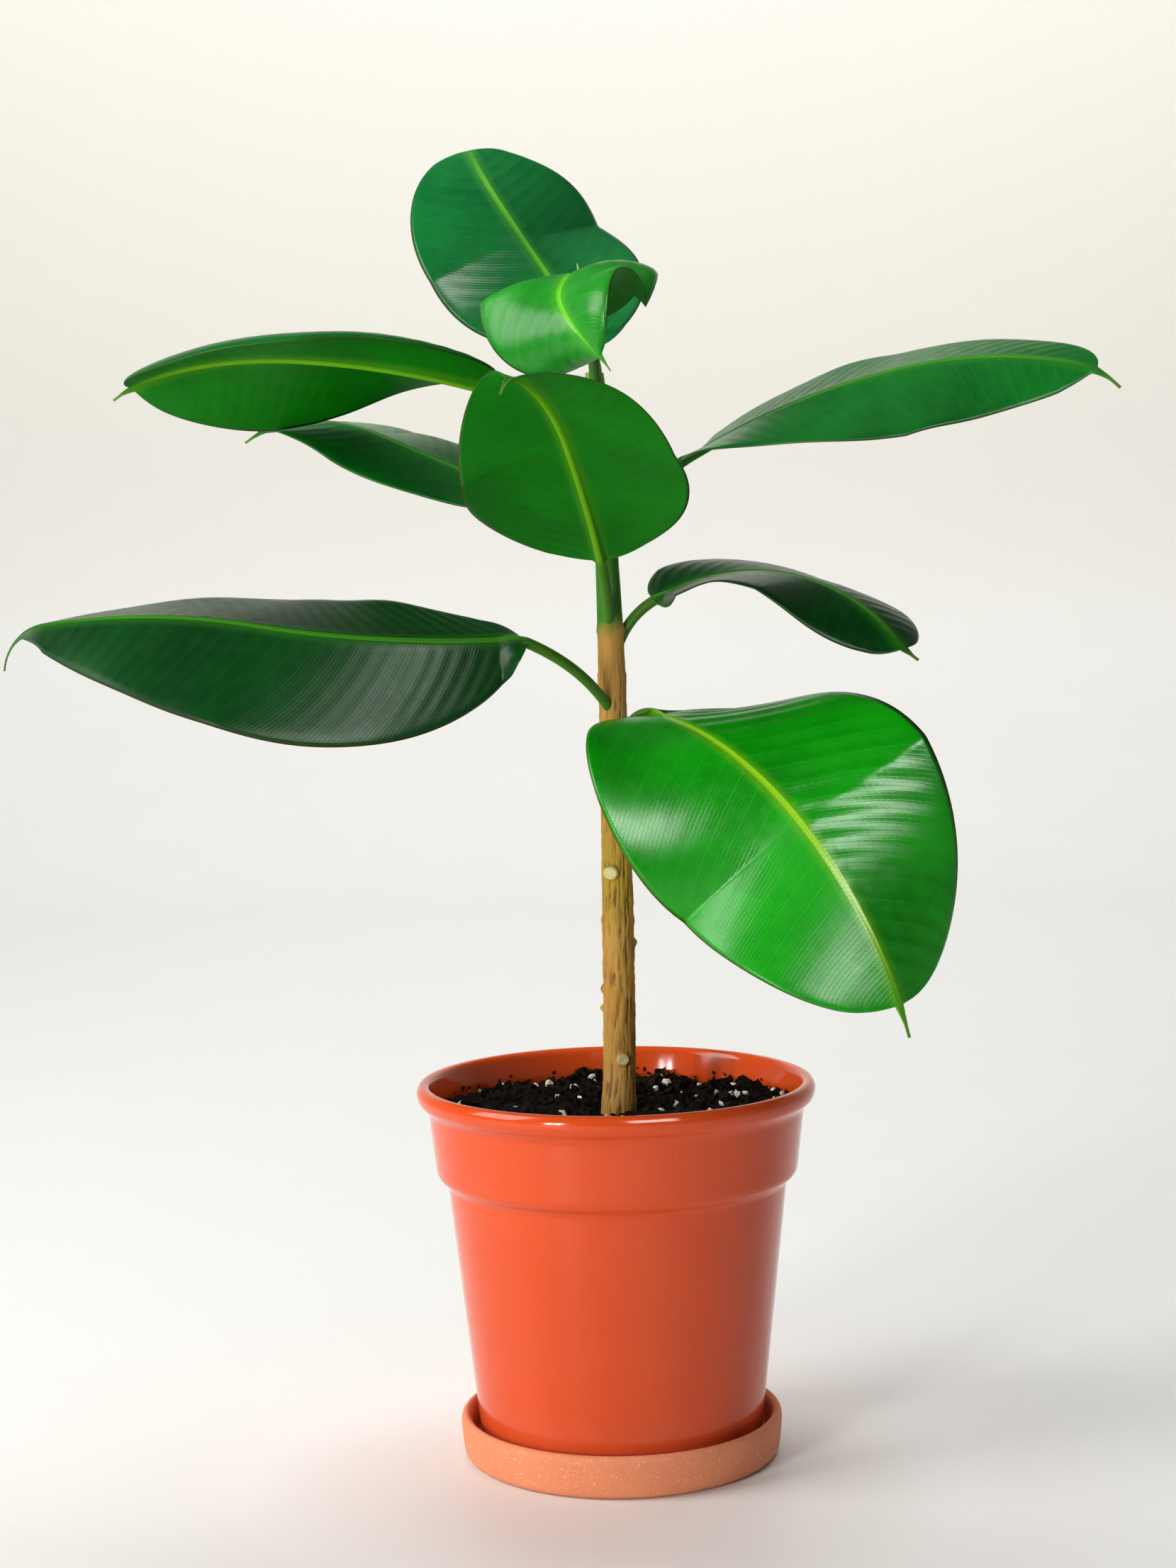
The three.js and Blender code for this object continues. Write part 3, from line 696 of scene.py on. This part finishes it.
def blade_half(leaf, rows, u, wide, rib, edge, d, sign, seed):
    """Sideways and upward places of one half of the blade, with its low ridges and waves."""
    side_name = "L" if sign > 0 else "R"
    after, grown = np.clip(u, 0, 1), np.clip(u / 0.06, 0, 1)[:, None]
    fold, curl = (np.radians(np.interp(after, [0, 0.5, 1], leaf[key + side_name]))[:, None] * grown
                  for key in ("fold", "curl"))
    curl = np.where(np.abs(curl) < 1e-3, 1e-3, curl)
    tilt = fold + curl * edge
    x = wide * (np.sin(tilt) - np.sin(fold)) / curl
    z = wide * (np.cos(fold) - np.cos(tilt)) / curl
    along = rows[:, None] - leaf["stalk"]
    sweep_on = 0.42 * d + 7 * edge ** 2.5 - 1.2 * np.sin(along / 31 + seed)
    vein = (along - sweep_on) / leaf.get("veins", VEIN_SPACING) + (0.5 if sign < 0 else 0)
    on_blade = smooth_step(d, rib * 1.1, rib * 1.1 + 4) * (1 - smooth_step(edge, 0.72, 1)) * grown
    on_blade = on_blade * (1 - smooth_step(after, 0.82, 0.93)[:, None])
    ridge = leaf.get("ridge", {}).get(side_name, VEIN_RIDGE) * np.cos(2 * math.pi * vein)
    ridge = ridge * (0.75 + 0.25 * np.sin(along / 17 + 2 * seed))
    slow = 0.8 * np.sin(along / 19 + seed + sign) * edge ** 2
    quick = 0.4 * np.sin(along / 8.5 + 2.1 * seed - sign) * edge ** 3
    rolled = 0.5 * smooth_step(edge, 0.93, 1)
    wave = (slow + quick - rolled) * grown * (1 - smooth_step(after, 0.88, 0.96)[:, None])
    lift = on_blade * ridge + leaf.get("wave", 1) * wave
    return x - lift * np.sin(tilt), z + lift * np.cos(tilt), vein


def both_halves(left, right):
    """Rows from the left margin over the midrib to the right margin."""
    return np.concatenate([left[:, ::-1], right[:, 1:]], 1)


def all_round(over, below, margin):
    """Closed rings: over the top from margin to margin, then back underneath."""
    return np.concatenate([margin[:, :1], over[:, 1:-1], margin[:, -1:], below[:, -2:0:-1]], 1)


def leaf_rows(leaf):
    """Distances along the leaf, with the point and the side and up directions at each one."""
    s, *line = leaf_line(leaf, LINE_STEPS)
    t = np.linspace(0, 1, LEAF_ALONG - STALK_ROWS)
    on_stalk = np.linspace(0, leaf["stalk"], STALK_ROWS, endpoint=False)
    on_blade = leaf["stalk"] + leaf["blade"] * (t - 0.05 * np.sin(2 * math.pi * t))
    rows = np.concatenate([on_stalk, on_blade])
    return rows, *(np.stack([np.interp(rows, s, v[:, k]) for k in range(3)], -1) for v in line)


def leaf_rings(leaf, seed):
    """Rings of points round the leaf, and for each point its vein number, place, edge and side."""
    rows, place, side, up = leaf_rows(leaf)
    u = (rows - leaf["stalk"]) / leaf["blade"]
    after, grown = np.clip(u, 0, 1), np.clip(u / 0.06, 0, 1)[:, None]
    rib = (STALK_RADIUS + (RIB_END - STALK_RADIUS) * after ** 0.7)[:, None]
    wide = np.maximum(rib * 1.02, half_width(u, leaf)[:, None])
    share = np.linspace(0, 1, LEAF_ACROSS)[None]
    spread = rib * np.clip(share / 0.2, 0, 1) + (wide - rib) * np.clip((share - 0.2) / 0.8, 0, 1) ** 0.92
    d = wide * np.sin(share * math.pi / 2) * (1 - grown) + spread * grown
    edge = d / wide
    left, right = (blade_half(leaf, rows, u, wide, rib, edge, d, sign, seed) for sign in (1, -1))
    x = both_halves(left[0], -right[0])[..., None]
    z = both_halves(left[1], right[1])[..., None]
    mid = place[:, None] + x * side[:, None] + z * up[:, None]
    normal = np.cross(np.gradient(mid, axis=1), np.gradient(mid, axis=0))
    normal /= np.maximum(np.linalg.norm(normal, axis=-1, keepdims=True), 1e-9)
    d, edge = both_halves(d, d), both_halves(edge, edge)
    thin = np.clip(wide / 4, 0.1, 1) * HALF_THICK * grown * (1 - 0.55 * smooth_step(edge, 0.85, 1)) + 0.02
    dome = np.sqrt(np.maximum(0, rib ** 2 - d ** 2))
    groove = 0.5 * np.exp(-((d / (0.6 * rib)) ** 2)) - 0.25 * np.exp(-(((d - rib * 1.3) / (0.5 * rib)) ** 2))
    raised = dome * (1 - grown) - groove * grown * np.clip(rib / STALK_RADIUS, 0.3, 1)
    top = mid + thin[..., None] * normal + raised[..., None] * up[:, None]
    low = mid - thin[..., None] * normal - dome[..., None] * up[:, None]
    about = {"vein": both_halves(left[2], right[2]), "aside": d * MM, "edge": edge}
    about = {key: all_round(value, value, value) for key, value in about.items()}
    about["under"] = all_round(0 * d, 0 * d + 1, 0 * d)
    about["blade"] = np.repeat(u[:, None], about["edge"].shape[1], 1)
    return all_round(top, low, mid), about


def leaf_mesh(name, leaf, seed, finish):
    rings, about = leaf_rings(leaf, seed)
    points, faces = loft(rings)
    attributes = {key: np.append(value, [value[0, 0], value[-1, 0]]) for key, value in about.items()}
    return mesh_object(name, points, faces, [finish], attributes)


print("leaf grid:", LEAF_ALONG, "rows x", 4 * LEAF_ACROSS - 4, "points")

# %% [markdown]
# The finish of a leaf follows its parts. Above, the blade is deep green and glossy with slightly
# paler side veins, a lime midrib and a thin red-brown margin; below, it is duller and yellower with
# a raised olive rib. The pattern reads the attributes written on the mesh (place across the blade,
# vein number, side), so one recipe serves every leaf, in six greens from dark to young. Apart from
# the young leaf's, the greens are one leaf green made darker or lighter by how lit each leaf is:
# partly the leaves' own colour, partly painted shade in the dark greens and painted light in the vivid one.

# %% Leaf finishes
def leaf_finish(name, deep, fresh, below, rib_colour, gloss, ior):
    """A leaf's finish from its greens in the deep, where fresh and seen from below."""
    f = Finish(name)
    vein, aside, edge = f.attribute("vein"), f.attribute("aside"), f.attribute("edge")
    under, blade = f.attribute("under"), f.attribute("blade")
    cloud = f.noise(24.0, 4.0, 0.6)
    mottle = f.noise(160.0, 3.0, 0.6)
    colour = f.mix(f.step(cloud, 0.3, 0.7), deep, fresh)
    colour = f.mix(f.step(mottle, 0.45, 0.75, 0.0, 0.3), colour, fresh)
    line = f.step(f.math("PINGPONG", vein, 0.5), 0.08, 0.0)
    fine = f.step(f.math("PINGPONG", f.math("MULTIPLY", vein, 5.0), 0.5), 0.16, 0.0)
    lines = f.math("ADD", f.math("MULTIPLY", line, 0.2), f.math("MULTIPLY", fine, 0.1))
    lines = f.math("MULTIPLY", lines, f.step(edge, 0.98, 0.8))
    colour = f.mix(lines, colour, tuple(1.5 * c + 0.01 for c in fresh))
    below_colour = f.mix(f.step(cloud, 0.3, 0.7), below, tuple(0.72 * c for c in below))
    below_colour = f.mix(f.math("MULTIPLY", lines, 0.6), below_colour, tuple(1.4 * c for c in below))
    colour = f.mix(under, colour, below_colour)
    rib = f.math("MULTIPLY", f.step(aside, 0.0019, 0.0009), f.step(blade, 1.0, 0.7, 0.2, 1.0))
    glow = f.math("MULTIPLY", f.step(aside, 0.006, 0.001), 0.25)
    under_rib = f.mix(0.5, rib_colour, (0.1, 0.3, 0.002))
    colour = f.mix(f.math("MAXIMUM", rib, glow), colour, f.mix(under, rib_colour, under_rib))
    stalk_colour = f.mix(cloud, (0.03, 0.12, 0.006), (0.07, 0.22, 0.01))
    colour = f.mix(f.step(blade, 0.03, -0.02), colour, stalk_colour)
    rim = f.math("MULTIPLY", f.step(edge, 0.978, 0.992), f.step(blade, 0.02, 0.05))
    rim = f.math("MULTIPLY", rim, f.step(blade, 0.94, 0.88))
    colour = f.mix(f.math("MULTIPLY", rim, 0.7), colour, (0.08, 0.03, 0.01))
    colour = f.mix(f.step(blade, 0.94, 0.98, 0.0, 0.4), colour, (0.2, 0.3, 0.06))
    rough = f.step(mottle, 0.2, 0.8, gloss - 0.03, gloss + 0.05)
    rough = f.math("ADD", rough, f.math("MULTIPLY", under, 0.3))
    height = f.math("ADD", f.math("MULTIPLY", fine, 0.6), f.math("MULTIPLY", mottle, 0.5))
    height = f.math("ADD", height, f.math("MULTIPLY", f.noise(900.0, 2.0), 0.35))
    return f.finish(colour, rough, height, bump=0.14, depth=0.0004, IOR=ior)


LIME, MOSS, OLIVE = (0.28, 0.6, 0.01), (0.05, 0.26, 0.012), (0.14, 0.42, 0.002)
# painted light and shade: apart from young, each green is the same leaf green, darker for leaves in shade
# (darkest in dark) and lighter for lit leaves (lightest in vivid)
GREENS = {
    # deep, fresh, below, midrib, roughness, IOR
    "dark": ((0.0005, 0.036, 0.004), (0.001, 0.06, 0.006), (0.003, 0.12, 0.002), MOSS, 0.3, 1.28),
    "top": ((0.002, 0.13, 0.025), (0.004, 0.2, 0.036), (0.01, 0.2, 0.01), (0.12, 0.5, 0.03), 0.27, 1.42),
    "below": ((0.002, 0.09, 0.01), (0.004, 0.14, 0.015), (0.001, 0.165, 0.0005), OLIVE, 0.3, 1.22),
    "vivid": ((0.001, 0.22, 0.001), (0.003, 0.33, 0.002), (0.006, 0.26, 0.004), LIME, 0.26, 1.42),
    "mid": ((0.001, 0.1, 0.008), (0.003, 0.17, 0.014), (0.004, 0.15, 0.004), MOSS, 0.3, 1.36),
    "young": ((0.006, 0.2, 0.008), (0.02, 0.3, 0.02), (0.03, 0.26, 0.02), (0.14, 0.58, 0.02), 0.28, 1.36),
}
LEAF_FINISHES = {key: leaf_finish("leaf_" + key, *greens) for key, greens in GREENS.items()}
# each leaf's green sets its painted light and shade; a leaf not listed gets dark, the most painted shade
GREEN_OF = {
    # the green of each leaf that isn't dark, and its slot
    "leaf_top_upright": ("top", "leaf_green"),
    "leaf_young_arched": ("young", "leaf_young"),
    "leaf_upper_left": ("below", "leaf_green"),
    "leaf_front_centre": ("below", "leaf_green"),
    "leaf_middle_left": ("mid", "leaf_green"),
    "leaf_upper_right": ("mid", "leaf_green"),
    "leaf_lower_right": ("vivid", "leaf_vivid"),
}
print("leaf finishes:", list(LEAF_FINISHES))

# %% Grow the leaves
for count, (name, plan) in enumerate(LEAVES.items()):
    green, slot = GREEN_OF.get(name, ("dark", "leaf_green"))
    piece = leaf_mesh(name.replace("leaf", "blade"), plan, 1.7 * count, LEAF_FINISHES[green])
    stand_for(piece, name)

# %% [markdown]
# ## Soil
# Moist black peat, heaped and sunk a little here and there, with white perlite and small crumbs.
# The ground is a fine polar grid over the same gentle hills as in the frame, but 3 mm higher, as
# it looks from the camera, and roughened by noise.
# The loose bits are scattered with Geometry Nodes: points on the surface, one small lump on each,
# turned and sized at random from a fixed seed.

# %% Lay the soil
SOIL_CENTRE, SOIL_BUMP, SOIL_RADIUS = 162, 3, 85.1
HEAPS = [(48, -5, 5, 900), (22, 30, -4, 500)]  # across, deep, height, spread squared


def soil_height(x, y):
    height = SOIL_CENTRE + SOIL_BUMP * (np.hypot(x, y) / 80) ** 2
    for across, deep, rise, spread in HEAPS:
        height = height + rise * np.exp(-((x - across) ** 2 + (y - deep) ** 2) / spread)
    return height + 1.3 * np.sin(x / 13 + 1) * np.cos(y / 11) + 0.8 * np.sin(x / 7 - y / 9)


peat = Finish("peat_finish")
clod = peat.noise(130.0, 6.0, 0.65)
peat_colour = peat.mix(peat.step(clod, 0.35, 0.7), (0.0015, 0.001, 0.0008), (0.009, 0.006, 0.004))
peat_rough = peat.step(clod, 0.3, 0.7, 0.6, 0.95)
peat.finish(peat_colour, peat_rough, peat.noise(700.0, 5.0, 0.7), bump=0.9, depth=0.001, IOR=1.2)

side = turned([(62.2, 10.6), (64.6, 13.6), (76.9, 131), (82.7, 137.2), (84.7, 158)], AROUND)
radii = np.linspace(SOIL_RADIUS, 1.5, 90)
tops = turned(np.stack([radii, radii * 0], -1), AROUND)
tops[..., 2] = soil_height(tops[..., 0], tops[..., 1])
flat = tops.reshape(-1, 3) * [1, 1, 0]
lumps, grit = (relief(*plan).reshape(tops.shape[:2]) for plan in ((flat, 0.16, 6), (flat + 50, 0.5, 3)))
inner = smooth_step(SOIL_RADIUS - np.hypot(tops[..., 0], tops[..., 1]), 0, 3)
tops[..., 2] += inner * (2.2 * lumps + 0.9 * grit)
points, faces = loft(np.concatenate([side, tops]))
soil = mesh_object("peat_soil", points, faces, [peat.material])
stand_for(soil, "soil")

# %% [markdown]
# The scatter tree has four inputs: how many bits per square metre, the largest bit's size, the
# smallest as a share of it, and the seed. It ends by making the copies real and giving them their
# finish.

# %% Build the scatter tree
FULL_TURN = 6.28


def scatter_tree(name, lump_name, material):
    tree = bpy.data.node_groups.new(name, "GeometryNodeTree")
    sockets = {}
    for way in ("INPUT", "OUTPUT"):
        tree.interface.new_socket("Geometry", in_out=way, socket_type="NodeSocketGeometry")
    for label, kind, value in (("Density", "NodeSocketFloat", 1000.0), ("Size", "NodeSocketFloat", 0.002),
                               ("Smallest", "NodeSocketFloat", 0.5), ("Seed", "NodeSocketInt", 1)):
        socket = tree.interface.new_socket(label, in_out="INPUT", socket_type=kind)
        socket.default_value = value
        sockets[label] = socket.identifier
    new, link = tree.nodes.new, tree.links.new
    given, result = new("NodeGroupInput"), new("NodeGroupOutput")
    spread = new("GeometryNodeDistributePointsOnFaces")
    lump = new("GeometryNodeObjectInfo")
    lump.inputs["Object"].default_value = bpy.data.objects[lump_name]
    turn = new("FunctionNodeRandomValue")
    turn.data_type = "FLOAT_VECTOR"
    turn.inputs[1].default_value = (FULL_TURN, FULL_TURN, FULL_TURN)
    size = new("FunctionNodeRandomValue")
    size.data_type = "FLOAT_VECTOR"
    smallest = new("ShaderNodeMath")
    smallest.operation = "MULTIPLY"
    place = new("GeometryNodeInstanceOnPoints")
    real = new("GeometryNodeRealizeInstances")
    coat = new("GeometryNodeSetMaterial")
    coat.inputs["Material"].default_value = material
    link(given.outputs["Geometry"], spread.inputs["Mesh"])
    link(given.outputs["Density"], spread.inputs["Density"])
    link(given.outputs["Seed"], spread.inputs["Seed"])
    link(spread.outputs["Points"], place.inputs["Points"])
    link(lump.outputs["Geometry"], place.inputs["Instance"])
    for random in (turn, size):
        link(given.outputs["Seed"], random.inputs["Seed"])
    link(given.outputs["Size"], smallest.inputs[0])
    link(given.outputs["Smallest"], smallest.inputs[1])
    link(smallest.outputs[0], size.inputs[0])
    link(given.outputs["Size"], size.inputs[1])
    link(turn.outputs[0], place.inputs["Rotation"])
    link(size.outputs[0], place.inputs["Scale"])
    link(place.outputs["Instances"], real.inputs["Geometry"])
    link(real.outputs["Geometry"], coat.inputs["Geometry"])
    link(coat.outputs["Geometry"], result.inputs["Geometry"])
    return tree, sockets


# %% Lumps to scatter
def lump_object(name, detail, roughness, seed):
    """A pebble one unit across, made from a ball pushed in and out by noise."""
    ball = bmesh.new()
    bmesh.ops.create_icosphere(ball, subdivisions=detail, radius=0.5)
    for vertex in ball.verts:
        vertex.co *= 1 + roughness * noise.noise(vertex.co * 3 + Vector((seed, 0, 0)))
    mesh = bpy.data.meshes.new(name)
    ball.to_mesh(mesh)
    ball.free()
    thing = bpy.data.objects.new(name, mesh)
    bpy.context.collection.objects.link(thing)
    return thing


# %% Scatter the loose bits
def scatter(name, rings, lump, material, values):
    """Scatters lumps over a bare strip of rings, which they replace."""
    strip_faces = [tuple(face) for face in grid_faces(*rings.shape[:2])]
    ground = mesh_object(name, rings, strip_faces, [])
    tree, sockets = scatter_tree(name + "_tree", lump.name, material)
    modifier = ground.modifiers.new("scatter", "NODES")
    modifier.node_group = tree
    for label, value in zip(("Density", "Size", "Smallest", "Seed"), values):
        modifier[sockets[label]] = value
    bake_modifiers(ground)
    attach(ground, "root")
    print(name, len(ground.data.polygons), "faces")


perlite = Finish("perlite_finish")
perlite_colour = perlite.mix(perlite.noise(300.0), (0.62, 0.55, 0.42), (0.88, 0.84, 0.74))
perlite.finish(perlite_colour, 0.85, perlite.noise(1500.0), bump=0.5)
crumb = Finish("crumb_finish")
crumb_colour = crumb.mix(crumb.noise(90.0), (0.002, 0.0014, 0.001), (0.016, 0.01, 0.006))
crumb.finish(crumb_colour, 0.9, crumb.noise(1200.0), bump=0.7, IOR=1.2)

bits = [lump_object("crumb_lump", 1, 0.9, 3), lump_object("clod_lump", 2, 1.1, 5),
        lump_object("perlite_lump", 2, 0.7, 9)]
WALL_ROWS, STEM_ROWS = 2, 14  # rings of the ground left bare beside the wall and the stem
open_ground = tops[WALL_ROWS:len(radii) - STEM_ROWS]
high_ground = open_ground + np.array([0, 0, 1.4])
wall_strip = turned([(85.4, 166), (86.0, 169.5)], AROUND)
SCATTERED = [
    # name, ground, lump, finish, bits per square metre, largest (m), smallest share, seed
    ("peat_crumbs", open_ground, bits[0], crumb, 150000.0, 0.004, 0.3, 4),
    ("peat_clods", open_ground, bits[1], crumb, 16000.0, 0.009, 0.45, 7),
    ("wall_crumbs", wall_strip, bits[0], crumb, 22000.0, 0.0024, 0.3, 5),
    ("perlite_bits", high_ground, bits[2], perlite, 4200.0, 0.0048, 0.35, 11),
]
for name, ground, lump, finish, *values in SCATTERED:
    scatter(name, ground, lump, finish.material, values)
for lump in bits:
    bpy.data.objects.remove(lump)
